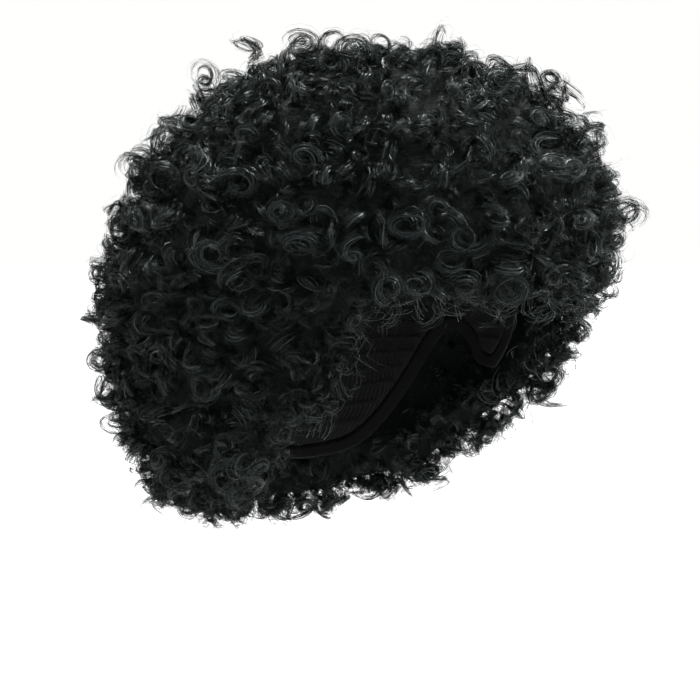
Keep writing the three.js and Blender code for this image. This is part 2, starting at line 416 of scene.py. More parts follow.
def strand_lines(spots, ways, plan, kind, steps):
    """The points of every strand, and the way its flat side faces: arrays (curl, strand, step, 3)."""
    count, strands, loose = len(spots), kind["count"], kind["loose"]
    each = (count, strands, 1)
    pick = rng.integers(0, BUNDLES, (count, strands))
    bundle_share, bundle_angle, bundle_beside, bundle_scatter = (
        plan["bundle_" + key][np.arange(count)[:, None], pick][:, :, None]
        for key in ("share", "angle", "beside", "scatter")
    )
    t = np.linspace(0, 1, steps)[None, None, :] * rng.uniform(0.7, 1.0, each)
    column = {key: plan[key][:, None, None] for key in plan if plan[key].ndim == 1}
    drift, sway = (plan[key][:, None, None, :] for key in ("drift", "sway"))
    axis, first, second = own_plane(plan["axis"], bundle_scatter + rng.normal(0, 0.04 * loose, (*each, 3)))
    share = bundle_share * rng.normal(1, 0.03 * loose, each)
    angle, radius = winding(column, share, bundle_angle, t, loose)
    radial = first * np.cos(angle)[..., None] + second * (np.sin(angle) * column["oval"])[..., None]
    climb = -column["depth"] + (column["depth"] + column["rise"]) * (1 - (1 - t) ** 2.4)
    climb = climb + kind["proud"] * rng.random(each) * t
    beside = (bundle_beside + rng.normal(0, 0.35 * loose * MM, each)) * (1 - 0.5 * t**2)
    dome = column["dome"] * column["radius"] * (1 - share**2) * smooth_step(t / 0.4)
    sideways = column["length"] * (t - 0.5) + beside + dome
    points = spots[:, None, None, :] + rng.normal(0, 0.25 * loose * MM, (*each, 3))
    points = points + ways[:, None, None, :] * climb[..., None]
    points = points + axis * sideways[..., None] + radial * radius[..., None]
    points = points + drift * (t - 0.6)[..., None] + sway * np.sin(9 * t + column["phase"])[..., None]
    lean = np.radians(rng.uniform(*kind["lean"], each))[..., None] * rng.choice((-1, 1), each)[..., None]
    return points, unit(radial * np.cos(lean) + axis * np.sin(lean))


# %% [markdown]
# A strand is drawn as a flat ribbon. A real curl holds hundreds of strands, more than a mesh can carry,
# so most ribbons are hair cards: a few millimetres wide, with fibres painted along them and the gaps
# between the fibres left open by the material. Hair particles would hold more strands, but they aren't
# a mesh that other programs can use.
#
# The UV map counts single fibres across a ribbon and lengths along it, so that a material can draw them
# whatever the ribbon's width is. Rings are cards that face along the curl's axis, and bands are cards
# that face away from it. Fibres are single glossy strands, strays have slipped out of the curl, fillers
# close the view between curls, and wisps hang at the face. loose is how freely a kind leaves the curl's
# own line, proud how far it may stand out, and lean how many degrees its flat side turns from facing
# away from the axis to facing along it.

# %% Ribbons along the lines
FIBRE_PITCH = 0.4 * MM
FIRST_FIBRES = 900  # a ribbon starts at one of these fibre numbers, so no two ribbons look alike
LENGTH_SCALE = 0.08  # UV lengths for each millimetre along a ribbon
CARD, GLOSSY = 0, 1
RING = {"count": 5, "width": 3.0 * MM, "loose": 0.6, "proud": 0, "lean": (50, 85), "finish": CARD}
BAND = {"count": 4, "width": 2.4 * MM, "loose": 0.8, "proud": 0, "lean": (0, 35), "finish": CARD}
FIBRE = {"count": 13, "width": 0.27 * MM, "loose": 0.6, "proud": 0, "lean": (10, 75), "finish": GLOSSY}
STRAY = {"count": 4, "width": 0.15 * MM, "loose": 4.0, "proud": 7 * MM, "lean": (10, 75), "finish": GLOSSY}
FILLER = {"count": 3, "width": 5.0 * MM, "loose": 4.0, "proud": 0, "lean": (10, 80), "finish": CARD}
WISP = {"count": 5, "width": 0.2 * MM, "loose": 2.0, "proud": 3 * MM, "lean": (10, 75), "finish": GLOSSY}


def ribbons(lines, kind):
    """The points, faces, UV and material numbers of a ribbon along each line, narrow at both ends."""
    points, flat = lines
    steps = points.shape[2]
    points = points.reshape(-1, steps, 3)
    flat = flat.reshape(-1, steps, 3)
    count, width = len(points), kind["width"]
    along = np.gradient(points, axis=1)
    side = unit(np.cross(along, flat))
    t = np.linspace(0, 1, steps)[None, :, None]
    half = width / 2 * np.minimum(1, 0.25 + 2.2 * (1 - t)) * np.minimum(1, 0.6 + 4 * t)
    half = half * rng.uniform(0.7, 1.3, (count, 1, 1))
    corners = np.stack([points - side * half, points + side * half], axis=2).reshape(-1, 3)
    start = ((np.arange(count) * steps * 2)[:, None] + np.arange(steps - 1)[None, :] * 2).ravel()
    faces = np.stack([start, start + 1, start + 3, start + 2], axis=1)
    v = np.cumsum(np.linalg.norm(along, axis=-1), axis=1) / MM * LENGTH_SCALE
    u = rng.integers(0, FIRST_FIBRES, count)[:, None, None] + np.array([0.0, 1.0])[None, None, :] * width / FIBRE_PITCH
    shape = (count, steps, 2)
    uv = np.stack([np.broadcast_to(u, shape), np.broadcast_to(v[..., None], shape)], axis=-1)
    return corners, faces, uv.reshape(-1, 2), np.full(len(faces), kind["finish"])


def together(parts):
    """Several sets of ribbons as one."""
    points, faces, uv, which = zip(*parts)
    starts = np.cumsum([0] + [len(own) for own in points])
    faces = np.concatenate([own + start for own, start in zip(faces, starts)])
    return np.concatenate(points), faces, np.concatenate(uv), np.concatenate(which)


# %% [markdown]
# A curl that winds more often needs more steps, or its loops would look like polygons.

# %% Whole curls
TURN_CLASSES = [(0, 1.2, 12), (1.2, 1.55, 15), (1.55, 9, 18)]  # least turns, most turns, steps
FILLER_STEPS = 8


def curl_ribbons(own, seats, ways, plan, kinds):
    """The ribbons of some of the curls, given by a mask."""
    parts = []
    turns = np.abs(plan["turns"])
    for least, most, steps in TURN_CLASSES:
        part = own & (turns >= least) & (turns < most)
        part_plan = {key: value[part] for key, value in plan.items()}
        for kind in kinds:
            parts.append(ribbons(strand_lines(seats[part], ways[part], part_plan, kind, steps), kind))
    return together(parts)


def filler_ribbons(own, seats, ways, plan):
    """Plain short loops under the curls."""
    own_plan = {key: value[own] for key, value in plan.items()}
    return ribbons(strand_lines(seats[own], ways[own], own_plan, FILLER, FILLER_STEPS), FILLER)


# %% [markdown]
# ## Materials
#
# Black hair is told by its sheen: soft highlights that break up into single strands. Three effects are
# used by more than one material, so each is a node group that is built once: uneven tones, woven
# threads and fibres.

# %% A new group
def new_group(name, inputs, outputs):
    """An empty shader group with named sockets, and the nodes where it is entered and left."""
    group = bpy.data.node_groups.new(name, "ShaderNodeTree")
    for label, kind, value in inputs:
        socket = group.interface.new_socket(label, in_out="INPUT", socket_type=kind)
        socket.default_value = value
    for label, kind in outputs:
        group.interface.new_socket(label, in_out="OUTPUT", socket_type=kind)
    return group, group.nodes.new("NodeGroupInput"), group.nodes.new("NodeGroupOutput")


# %% [markdown]
# No two strands have just the same tone. Noise in the object's own space mixes a darker and a lighter
# one in soft patches, which needs no UV map.

# %% Uneven tone
def uneven_tone_group():
    """A mix of two tones, Dark and Light, in soft patches."""
    group, entry, leave = new_group(
        "Uneven tone",
        [
            ("Dark", "NodeSocketColor", (0.01, 0.01, 0.01, 1)),
            ("Light", "NodeSocketColor", (0.02, 0.02, 0.02, 1)),
            ("Patches per metre", "NodeSocketFloat", 60.0),
        ],
        [("Color", "NodeSocketColor")],
    )
    place = group.nodes.new("ShaderNodeTexCoord")
    noise = group.nodes.new("ShaderNodeTexNoise")
    noise.inputs["Detail"].default_value = 3
    mix = group.nodes.new("ShaderNodeMix")
    mix.data_type = "RGBA"
    link = group.links.new
    link(place.outputs["Object"], noise.inputs["Vector"])
    link(entry.outputs["Patches per metre"], noise.inputs["Scale"])
    link(noise.outputs["Fac"], mix.inputs["Factor"])
    link(entry.outputs["Dark"], mix.inputs["A"])
    link(entry.outputs["Light"], mix.inputs["B"])
    link(mix.outputs["Result"], leave.inputs["Color"])
    return group


# %% [markdown]
# The net, the tracks and the elastic are woven. Two waves cross at right angles, and the higher of the
# two at each place is the thread that lies on top. A picture of cloth would do too, but a formula stays
# sharp at any size.

# %% Woven threads
def woven_group():
    """Threads that cross at right angles, as a height from 0 to 1. It reads the UV map, in millimetres."""
    group, entry, leave = new_group(
        "Woven threads",
        [("Pitch", "NodeSocketFloat", 1.6), ("Slant", "NodeSocketFloat", 45.0)],
        [("Height", "NodeSocketFloat")],
    )
    place = group.nodes.new("ShaderNodeUVMap")
    place.uv_map = "UVMap"
    turn = group.nodes.new("ShaderNodeVectorRotate")
    turn.rotation_type = "Z_AXIS"
    radians = group.nodes.new("ShaderNodeMath")
    radians.operation = "RADIANS"
    scale = group.nodes.new("ShaderNodeMath")
    scale.operation = "DIVIDE"
    scale.inputs[0].default_value = 2 * math.pi
    stretch = group.nodes.new("ShaderNodeVectorMath")
    stretch.operation = "SCALE"
    wave = group.nodes.new("ShaderNodeVectorMath")
    wave.operation = "COSINE"
    split = group.nodes.new("ShaderNodeSeparateXYZ")
    higher = group.nodes.new("ShaderNodeMath")
    higher.operation = "MAXIMUM"
    link = group.links.new
    link(entry.outputs["Slant"], radians.inputs[0])
    link(radians.outputs[0], turn.inputs["Angle"])
    link(place.outputs["UV"], turn.inputs["Vector"])
    link(entry.outputs["Pitch"], scale.inputs[1])
    link(turn.outputs["Vector"], stretch.inputs[0])
    link(scale.outputs[0], stretch.inputs["Scale"])
    link(stretch.outputs["Vector"], wave.inputs[0])
    link(wave.outputs["Vector"], split.inputs[0])
    link(split.outputs["X"], higher.inputs[0])
    link(split.outputs["Y"], higher.inputs[1])
    link(higher.outputs[0], leave.inputs["Height"])
    return group


# %% [markdown]
# The UV map is far finer across a ribbon than along it, so plain noise on it comes out as long thin
# lines. Contrast sharpens them, and a higher Middle makes them fewer.

# %% Fibres
def fibre_group():
    """Fine fibres that run along V of the UV map, as a value from 0 to 1 for tones, where it paints shade between the
    fibres, and for bumps.
    """
    group, entry, leave = new_group(
        "Fibres",
        [("Contrast", "NodeSocketFloat", 1.0), ("Middle", "NodeSocketFloat", 0.5)],
        [("Value", "NodeSocketFloat")],
    )
    place = group.nodes.new("ShaderNodeUVMap")
    place.uv_map = "UVMap"
    noise = group.nodes.new("ShaderNodeTexNoise")
    noise.inputs["Scale"].default_value = 1.0
    noise.inputs["Detail"].default_value = 2
    widen = group.nodes.new("ShaderNodeMath")
    widen.operation = "MULTIPLY_ADD"
    widen.use_clamp = True
    centre = group.nodes.new("ShaderNodeMath")
    centre.operation = "SUBTRACT"
    widen.inputs[2].default_value = 0.5
    group.links.new(place.outputs["UV"], noise.inputs["Vector"])
    group.links.new(noise.outputs["Fac"], centre.inputs[0])
    group.links.new(entry.outputs["Middle"], centre.inputs[1])
    group.links.new(centre.outputs[0], widen.inputs[0])
    group.links.new(entry.outputs["Contrast"], widen.inputs[1])
    group.links.new(widen.outputs[0], leave.inputs["Value"])
    return group


UNEVEN_TONE = uneven_tone_group()
WOVEN = woven_group()
FIBRES = fibre_group()
print("node groups:", [group.name for group in (UNEVEN_TONE, WOVEN, FIBRES)])


# %% [markdown]
# Every finish on the wig starts as a dark fibre with uneven tones. Roughness and the specular level are
# the same all over, so they are set on the shader itself.

# %% A dark fibre
def fibre_material(name, dark, light, patches, roughness, specular):
    """A dark fibre with uneven tones. Returns the material, its nodes and its main shader."""
    material = bpy.data.materials.new(name)
    material.use_nodes = True
    tree = material.node_tree
    shader = tree.nodes["Principled BSDF"]
    tone = tree.nodes.new("ShaderNodeGroup")
    tone.node_tree = UNEVEN_TONE
    tone.inputs["Dark"].default_value = (*dark, 1)
    tone.inputs["Light"].default_value = (*light, 1)
    tone.inputs["Patches per metre"].default_value = patches
    tree.links.new(tone.outputs["Color"], shader.inputs["Base Color"])
    shader.inputs["Roughness"].default_value = roughness
    shader.inputs["Specular IOR Level"].default_value = specular
    return material, tree, shader


# %% [markdown]
# The weave is only raised, not coloured, because black thread shows by its shadows.

# %% Weave on a material
def add_weave(tree, shader, pitch, slant, height):
    """Raises the threads of a net or an elastic on a material."""
    weave = tree.nodes.new("ShaderNodeGroup")
    weave.node_tree = WOVEN
    weave.inputs["Pitch"].default_value = pitch
    weave.inputs["Slant"].default_value = slant
    bump = tree.nodes.new("ShaderNodeBump")
    bump.inputs["Distance"].default_value = height
    tree.links.new(weave.outputs["Height"], bump.inputs["Height"])
    tree.links.new(bump.outputs["Normal"], shader.inputs["Normal"])


# %% [markdown]
# On a ribbon the fibres darken the colour between them, as painted shade in the gaps between strands.
# They also raise a fine bump and stretch the highlight across them, which is how hair shines. On a card
# they also open the gaps: Alpha falls to 0 between two strands, so one ribbon reads as several. Cutting
# the gaps in the mesh would take ten times the faces.

# %% Fibres and gaps on a ribbon
# Painted shade: the dark colour that the gaps between the fibres are given.
SHADE_BETWEEN_FIBRES = (0.0035, 0.004, 0.0039, 1)
FIBRE_ANISOTROPY = 0.85


def add_fibres(tree, shader, contrast, height):
    """Draws fine fibres on a ribbon with painted shade between them, and stretches its highlight across them."""
    fibres = tree.nodes.new("ShaderNodeGroup")
    fibres.node_tree = FIBRES
    fibres.inputs["Contrast"].default_value = contrast
    bump = tree.nodes.new("ShaderNodeBump")
    bump.inputs["Distance"].default_value = height
    tree.links.new(fibres.outputs["Value"], bump.inputs["Height"])
    tree.links.new(bump.outputs["Normal"], shader.inputs["Normal"])
    tone = shader.inputs["Base Color"].links[0].from_socket
    tint = tree.nodes.new("ShaderNodeMix")
    tint.data_type = "RGBA"
    # The gaps between the fibres get this darker colour, as painted shade.
    tint.inputs["A"].default_value = SHADE_BETWEEN_FIBRES
    tree.links.new(fibres.outputs["Value"], tint.inputs["Factor"])
    tree.links.new(tone, tint.inputs["B"])
    tree.links.new(tint.outputs["Result"], shader.inputs["Base Color"])
    tangent = tree.nodes.new("ShaderNodeTangent")
    tangent.direction_type = "UV_MAP"
    tangent.uv_map = "UVMap"
    tree.links.new(tangent.outputs["Tangent"], shader.inputs["Tangent"])
    shader.inputs["Anisotropic"].default_value = FIBRE_ANISOTROPY


def add_gaps(tree, shader, sharpness, middle):
    """Opens the gaps between the strands of a card, so that one card shows several strands."""
    fibres = tree.nodes.new("ShaderNodeGroup")
    fibres.node_tree = FIBRES
    fibres.inputs["Contrast"].default_value = sharpness
    fibres.inputs["Middle"].default_value = middle
    tree.links.new(fibres.outputs["Value"], shader.inputs["Alpha"])


# %% [markdown]
# Deep in the hair the eye makes out only faint rings. Cells scattered in space give the middles, a wave
# of the distance from them the rings, and noise bends and breaks them.

# %% Curls in the shade
DEEP_SHADE = (0.004, 0.0045, 0.0044, 1)


def add_curled_depth(tree, shader, curl_size, rings, height):
    """Broken rings round scattered middles, as curls look deep in the shade."""
    place = tree.nodes.new("ShaderNodeTexCoord")
    warp = tree.nodes.new("ShaderNodeTexNoise")
    warp.inputs["Scale"].default_value = 0.8 / curl_size
    warp.inputs["Detail"].default_value = 1
    bend = tree.nodes.new("ShaderNodeVectorMath")
    bend.operation = "MULTIPLY_ADD"
    bend.inputs[1].default_value = [1.1 * curl_size] * 3
    cells = tree.nodes.new("ShaderNodeTexVoronoi")
    cells.inputs["Scale"].default_value = 1 / curl_size
    phase = tree.nodes.new("ShaderNodeMath")
    phase.operation = "MULTIPLY"
    phase.inputs[1].default_value = 2 * math.pi * rings
    wave = tree.nodes.new("ShaderNodeMath")
    wave.operation = "SINE"
    level = tree.nodes.new("ShaderNodeMapRange")
    level.inputs["From Min"].default_value = -1
    gaps = tree.nodes.new("ShaderNodeTexNoise")
    gaps.inputs["Scale"].default_value = 2.6 / curl_size
    gaps.inputs["Detail"].default_value = 2
    broken = tree.nodes.new("ShaderNodeMapRange")
    broken.inputs["From Min"].default_value = 0.42
    broken.inputs["From Max"].default_value = 0.62
    strands = tree.nodes.new("ShaderNodeMath")
    strands.operation = "MULTIPLY"
    bump = tree.nodes.new("ShaderNodeBump")
    bump.inputs["Distance"].default_value = height
    tone = shader.inputs["Base Color"].links[0].from_socket
    tint = tree.nodes.new("ShaderNodeMix")
    tint.data_type = "RGBA"
    tint.inputs["A"].default_value = DEEP_SHADE
    link = tree.links.new
    link(place.outputs["Object"], warp.inputs["Vector"])
    link(warp.outputs["Color"], bend.inputs[0])
    link(place.outputs["Object"], bend.inputs[2])
    link(bend.outputs["Vector"], cells.inputs["Vector"])
    link(cells.outputs["Distance"], phase.inputs[0])
    link(phase.outputs[0], wave.inputs[0])
    link(wave.outputs[0], level.inputs["Value"])
    link(place.outputs["Object"], gaps.inputs["Vector"])
    link(gaps.outputs["Fac"], broken.inputs["Value"])
    link(level.outputs["Result"], strands.inputs[0])
    link(broken.outputs["Result"], strands.inputs[1])
    link(strands.outputs[0], bump.inputs["Height"])
    link(bump.outputs["Normal"], shader.inputs["Normal"])
    link(strands.outputs[0], tint.inputs["Factor"])
    link(tone, tint.inputs["B"])
    link(tint.outputs["Result"], shader.inputs["Base Color"])


# %% [markdown]
# The single strands are glossier than the cards, and the hair in shade is nearly matte. The real fibre's
# highlights are a little cool, so the three share a cool tint. Net, tracks and elastic are matte.

# %% The wig's materials
COOL = (0.84, 1.0, 0.97, 1)
hair, hair_tree, hair_shader = fibre_material(
    "hair fibre", (0.009, 0.0106, 0.0103), (0.018, 0.021, 0.0204), 260, 0.27, 0.9
)
add_fibres(hair_tree, hair_shader, 1.5, 0.05 * MM)
card_hair, card_tree, card_shader = fibre_material(
    "hair strands", (0.007, 0.0082, 0.008), (0.014, 0.0164, 0.016), 260, 0.4, 0.22
)
add_fibres(card_tree, card_shader, 1.5, 0.1 * MM)
add_gaps(card_tree, card_shader, 12, 0.56)
shade, shade_tree, shade_shader = fibre_material(
    "hair in shade", (0.007, 0.0082, 0.008), (0.014, 0.0161, 0.0157), 120, 0.7, 0.14
)
add_curled_depth(shade_tree, shade_shader, 17 * MM, 6, 0.3 * MM)
for shader in (hair_shader, card_shader, shade_shader):
    shader.inputs["Specular Tint"].default_value = COOL
net, net_tree, net_shader = fibre_material(
    "net", (0.006, 0.006, 0.0062), (0.014, 0.014, 0.0145), 70, 0.75, 0.3
)
add_weave(net_tree, net_shader, 1.8, 45, 0.5 * MM)
track, track_tree, track_shader = fibre_material(
    "sewn track", (0.005, 0.005, 0.0052), (0.011, 0.011, 0.0115), 400, 0.7, 0.3
)
add_weave(track_tree, track_shader, 1.3, 20, 0.3 * MM)
elastic, elastic_tree, elastic_shader = fibre_material(
    "elastic", (0.006, 0.0062, 0.0063), (0.012, 0.0123, 0.0125), 120, 0.75, 0.2
)
add_weave(elastic_tree, elastic_shader, 0.9, 0, 0.2 * MM)
print("materials:", [material.name for material in (hair, card_hair, shade, net, track, elastic)])

# %% [markdown]
# ## The curls of each row
#
# A row's right and left half are one piece each, which keeps every piece light. Each curl gets ring and
# band cards for its body, with glossy fibres and strays over them. Curls sit a little higher or lower at
# random, and those at the hem sit deeper, because they hang below their seat. Under them lie the
# fillers, plainer loops that close the view inwards.

# %% Make the curls
CREST_GAIN = 1.5
HEM_INSET = 9 * MM
OUTER_INSET = (-1.0, 4.0)  # in millimetres, as the next two are
INNER_INSET = (3.0, 6.0)
FILLER_INSET = (4, 9)
FILLER_CLEARANCE = 7 * MM
FILLER_SPACING = 10 * MM

plan = curl_plan(ways, is_outer)
inset = np.where(is_outer, rng.uniform(*OUTER_INSET, len(spots)), rng.uniform(*INNER_INSET, len(spots))) * MM
inset += HEM_INSET * np.clip(-ways[:, 2], 0, 1) - puff_lift
seats = spots - ways * (inset - CREST_GAIN * relief(spots, ways))[:, None]

under_spots, under_ways = spread(skin_points, skin_triangles, skin_normals, FILLER_SPACING)
under_off_cap = np.array([cap_tree.find_nearest(Vector(p))[3] for p in under_spots]) > FILLER_CLEARANCE
under_spots, under_ways = under_spots[under_off_cap], under_ways[under_off_cap]
under_outer = (unit(under_spots - HEAD_MIDDLE) * under_ways).sum(1) > OUTER_FACING
under_plan = curl_plan(under_ways, under_outer, 0)
under_seats = under_spots - under_ways * rng.uniform(*FILLER_INSET, (len(under_spots), 1)) * MM
under_row, under_side = nearest_row(under_spots), (under_spots[:, 0] > 0).astype(int)

strand_triangles = 0
for number, row in enumerate(rows):
    for side, side_name in enumerate(("right", "left")):
        own = (row_of == number) & (side_of == side)
        own_under = (under_row == number) & (under_side == side)
        points, faces, uv, which = together(
            [
                curl_ribbons(own, seats, ways, plan, [RING, BAND, FIBRE, STRAY]),
                filler_ribbons(own_under, under_seats, under_ways, under_plan),
            ]
        )
        piece = mesh_object(f"{row}_{side_name}", points, faces, [card_hair, hair], uv, which)
        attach(piece, "root")
        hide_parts(row)
        strand_triangles += 2 * len(faces)
        print(piece.name, own.sum(), "curls", 2 * len(faces), "triangles")
print("strand triangles:", strand_triangles)


# %% [markdown]
# ## Wisps at the edge round the face
#
# Where the hair ends over the forehead and before the ears it thins out. A few single strands hang
# from that edge in open curls. Its surface looks along the edge, neither outwards nor inwards.

# %% Make the wisps
WISP_SPACING = 10 * MM
WISP_TURN = 80
WISP_LEVEL = 25 * MM  # the highest that a wisp starts, over the middle of the head
EDGE_FACING = 0.45  # the hair's edge faces neither outwards nor inwards by more than this

wisp_spots, wisp_ways = spread(skin_points, skin_triangles, skin_normals, WISP_SPACING)
wisp_out = unit(wisp_spots - HEAD_MIDDLE)
turn_of = np.degrees(np.arctan2(np.abs(wisp_spots[:, 0]), -wisp_spots[:, 1]))
along_edge = np.abs((wisp_out * wisp_ways).sum(1)) < EDGE_FACING
is_wisp = along_edge & (turn_of < WISP_TURN) & (wisp_spots[:, 2] < HEAD_MIDDLE[2] + WISP_LEVEL)
wisp_spots, wisp_ways = wisp_spots[is_wisp], wisp_ways[is_wisp]
count = len(wisp_spots)
all_wisps = np.ones(count, bool)
wisp_plan = curl_plan(wisp_ways, all_wisps, 0)
wisp_plan["rise"] = rng.uniform(1, 9, count) * MM
hang = unit(np.array([0, -0.3, -1.0]) + rng.normal(0, 0.35, (count, 3)))
wisp_plan["drift"] = hang * rng.uniform(4, 13, (count, 1)) * MM
points, faces, uv, which = curl_ribbons(all_wisps, wisp_spots, wisp_ways, wisp_plan, [WISP])
wisps = mesh_object("face_wisps", points, faces, [card_hair, hair], uv, which)
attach(wisps, "root")
print("wisps:", count, "curls", 2 * len(faces), "triangles")


# %% [markdown]
# ## The hair in shade
#
# Behind the curls lies hair that no light reaches. It is one dark mass, some way inside the envelope,
# made by filling the envelope with a fog that grows denser inwards and cutting it at one density.

# %% The dark mass behind the curls
MASS_INSET = 13 * MM
MASS_FACE = 6.5 * MM
FOG_CUT = 0.8  # the density at which the fog is cut


def inner_mass(points, triangles, inset, face_size):
    """The points and triangles of a skin some way inside a closed one."""
    obj = mesh_object("hair_in_shade", points, triangles)
    group = bpy.data.node_groups.new("Inner mass", "GeometryNodeTree")
    group.interface.new_socket("Geometry", in_out="INPUT", socket_type="NodeSocketGeometry")
    group.interface.new_socket("Geometry", in_out="OUTPUT", socket_type="NodeSocketGeometry")
    entry = group.nodes.new("NodeGroupInput")
    leave = group.nodes.new("NodeGroupOutput")
    fog = group.nodes.new("GeometryNodeMeshToVolume")
    fog.resolution_mode = "VOXEL_SIZE"
    fog.inputs["Voxel Size"].default_value = face_size / 2
    fog.inputs["Interior Band Width"].default_value = inset / FOG_CUT
    cut = group.nodes.new("GeometryNodeVolumeToMesh")
    cut.resolution_mode = "VOXEL_SIZE"
    cut.inputs["Voxel Size"].default_value = face_size
    cut.inputs["Threshold"].default_value = FOG_CUT
    group.links.new(entry.outputs[0], fog.inputs["Mesh"])
    group.links.new(fog.outputs["Volume"], cut.inputs["Volume"])
    group.links.new(cut.outputs["Mesh"], leave.inputs[0])
    obj.modifiers.new("Inner mass", "NODES").node_group = group
    evaluated = obj.evaluated_get(bpy.context.evaluated_depsgraph_get())
    result = arrays(evaluated.to_mesh())
    evaluated.to_mesh_clear()
    bpy.data.objects.remove(obj)
    return result


mass_points, mass_triangles, _ = inner_mass(skin_points, skin_triangles, MASS_INSET, MASS_FACE)
print("dark mass:", len(mass_triangles), "triangles")
mass = mesh_object("hair_in_shade", mass_points, mass_triangles, [shade])
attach(mass, "root")


# %% [markdown]
# ## The cap and its edge
#
# The cap is a net that stretches over the head, and its edge is bound with elastic. Rays from the middle
# of the head find the cap, so the net follows its true form. The tracks that the rows of hair are sewn
# along, and the elastic, are found in the same way.

# %% Follow the cap with rays
def direction(turn, down):
    """The way that points at a turn from the face and down from the crown, both in degrees."""
    turn, down = np.radians(turn), np.radians(down)
    return np.stack([np.sin(down) * np.sin(turn), -np.sin(down) * np.cos(turn), np.cos(down)], axis=-1)


def hit(tree, way):
    """How far a ray from the head's middle goes before it meets the tree, or None."""
    return tree.ray_cast(Vector(HEAD_MIDDLE), Vector(way))[3]


LOWEST_RAY = 160  # degrees down from the crown


def span(tree, turn, step=0.25):
    """The first and last down angle at which rays meet the tree, at a turn."""
    downs = np.arange(1, LOWEST_RAY, step)
    met = [down for down in downs if hit(tree, direction(turn, down)) is not None]
    return met[0], met[-1]


def smoothed(values, rounds):
    """A table of distances with its facets smoothed, round the turns and down the lines."""
    for _ in range(rounds):
        values = 0.5 * values + 0.25 * (np.roll(values, 1, 0) + np.roll(values, -1, 0))
        values[:, 1:-1] = 0.5 * values[:, 1:-1] + 0.25 * (values[:, :-2] + values[:, 2:])
    return values


TURNS = np.arange(0, 360, 3)
cap_only, band_only = tree_of(["cap"]), tree_of(["edge_band"])
cap_last = np.array([span(cap_only, turn)[1] for turn in TURNS])
band_span = np.array([span(band_only, turn) for turn in TURNS])
print("cap edge from", cap_last.min(), "to", cap_last.max(), "degrees down")


def shell(tree, first, last, lines):
    """A net of points that follows the inside of a CAD node between two down angles at each turn."""
    share = np.linspace(0, 1, lines)[None, :]
    downs = first[:, None] + (last - first)[:, None] * share
    ways = direction(TURNS[:, None], downs)
    found = [[hit(tree, way) or 0 for way in column] for column in ways]
    return ways, downs, smoothed(np.array(found), 3)


def ring_faces(columns, lines):
    """Faces of a net whose columns close into a ring."""
    i, j = np.meshgrid(np.arange(columns), np.arange(lines - 1), indexing="ij")
    here, beside = i * lines + j, (i + 1) % columns * lines + j
    return np.stack([here, here + 1, beside + 1, beside], axis=-1).reshape(-1, 4)


# %% [markdown]
# The net is a sheet of faces with an even thickness, given by a modifier. Its UV map is in millimetres,
# as the weave expects.

# %% The cap's net
CAP_LINES = 36
FIRST_DOWN = 1.0
CAP_MARGIN = 0.6  # degrees between the net's edge and the cap's
UV_TURN, UV_DOWN = 1.5, 1.6  # millimetres for each degree
NET_THICKNESS = 0.8 * MM

cap_first = np.full(len(TURNS), FIRST_DOWN)
cap_ways, cap_downs, cap_far = shell(cap_only, cap_first, cap_last - CAP_MARGIN, CAP_LINES)
net_uv = np.stack([TURNS[:, None] * UV_TURN * np.sin(np.radians(cap_downs)), cap_downs * UV_DOWN], axis=-1)
net_points = HEAD_MIDDLE + cap_ways * (cap_far + NET_THICKNESS / 2)[..., None]
cap_net = mesh_object(
    "cap_net", net_points.reshape(-1, 3), ring_faces(len(TURNS), CAP_LINES), [net], net_uv.reshape(-1, 2)
)
thick = cap_net.modifiers.new("Thickness", "SOLIDIFY")
thick.thickness = NET_THICKNESS
thick.offset = 0
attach(cap_net, "root")
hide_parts("cap")
print("net:", len(cap_net.data.polygons), "faces")

# %% [markdown]
# The tracks run round the cap, one above the other. Each is a flat tape, sewn down with a close row of
# stitches, and no tape lies quite level.

# %% The sewn tracks
TRACK_WIDTH = 3.4 * MM
TRACK_HEIGHT = 0.4 * MM
TRACK_PITCH = 6.5  # degrees, as the next two are
FIRST_TRACK = 12
TRACKS_END = 138
TRACK_PROFILE = ((-1, 0.2), (-0.75, -1), (0.75, -1), (1, 0.2))  # shares of half the width, of the height
CAP_RADIUS = 90 * MM


def track_line(down):
    """The points of one tape, four for each turn, and their UV. A point off the cap is None."""
    points, uv = [], []
    half = math.degrees(TRACK_WIDTH / 2 / CAP_RADIUS)
    phase = rng.uniform(0, 2 * math.pi, 2)
    for turn in TURNS:
        slow, quick = math.radians(3 * turn), math.radians(8 * turn)
        sway = 0.35 * math.sin(slow + phase[0]) + 0.2 * math.sin(quick + phase[1])
        for across_share, lift in TRACK_PROFILE:
            way = direction(turn, down + sway + half * across_share)
            far = hit(cap_only, way)
            points.append(None if far is None else HEAD_MIDDLE + way * (far + lift * TRACK_HEIGHT))
            uv.append((math.radians(turn) * CAP_RADIUS / MM, across_share * TRACK_WIDTH / 2 / MM))
    return points, uv


def track_faces(line, start):
    """The faces of one tape, where all four corners lie on the cap."""
    faces = []
    sides = len(TRACK_PROFILE)
    for column in range(len(TURNS)):
        here, beside = sides * column, sides * ((column + 1) % len(TURNS))
        if any(line[c + k] is None for c in (here, beside) for k in range(sides)):
            continue
        for k in range(sides - 1):
            faces.append((start + here + k, start + here + k + 1, start + beside + k + 1, start + beside + k))
    return faces


track_points, track_uv, track_quads = [], [], []
for down in np.arange(FIRST_TRACK, TRACKS_END, TRACK_PITCH):
    line, line_uv = track_line(down)
    track_quads += track_faces(line, len(track_points))
    track_points += [HEAD_MIDDLE if p is None else p for p in line]
    track_uv += line_uv
used, track_quads = np.unique(np.array(track_quads), return_inverse=True)
track_quads = track_quads.reshape(-1, 4)
tracks = mesh_object(
    "cap_tracks",
    np.array(track_points)[used],
    track_quads,
    [track],
    np.array(track_uv)[used],
)
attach(tracks, "root")
print("tracks:", 2 * len(track_quads), "triangles")

# %% [markdown]
# The elastic is a flat strip with ribs that run along it: the same net of points, once on its inside
# and once on its outside, joined into a ring.

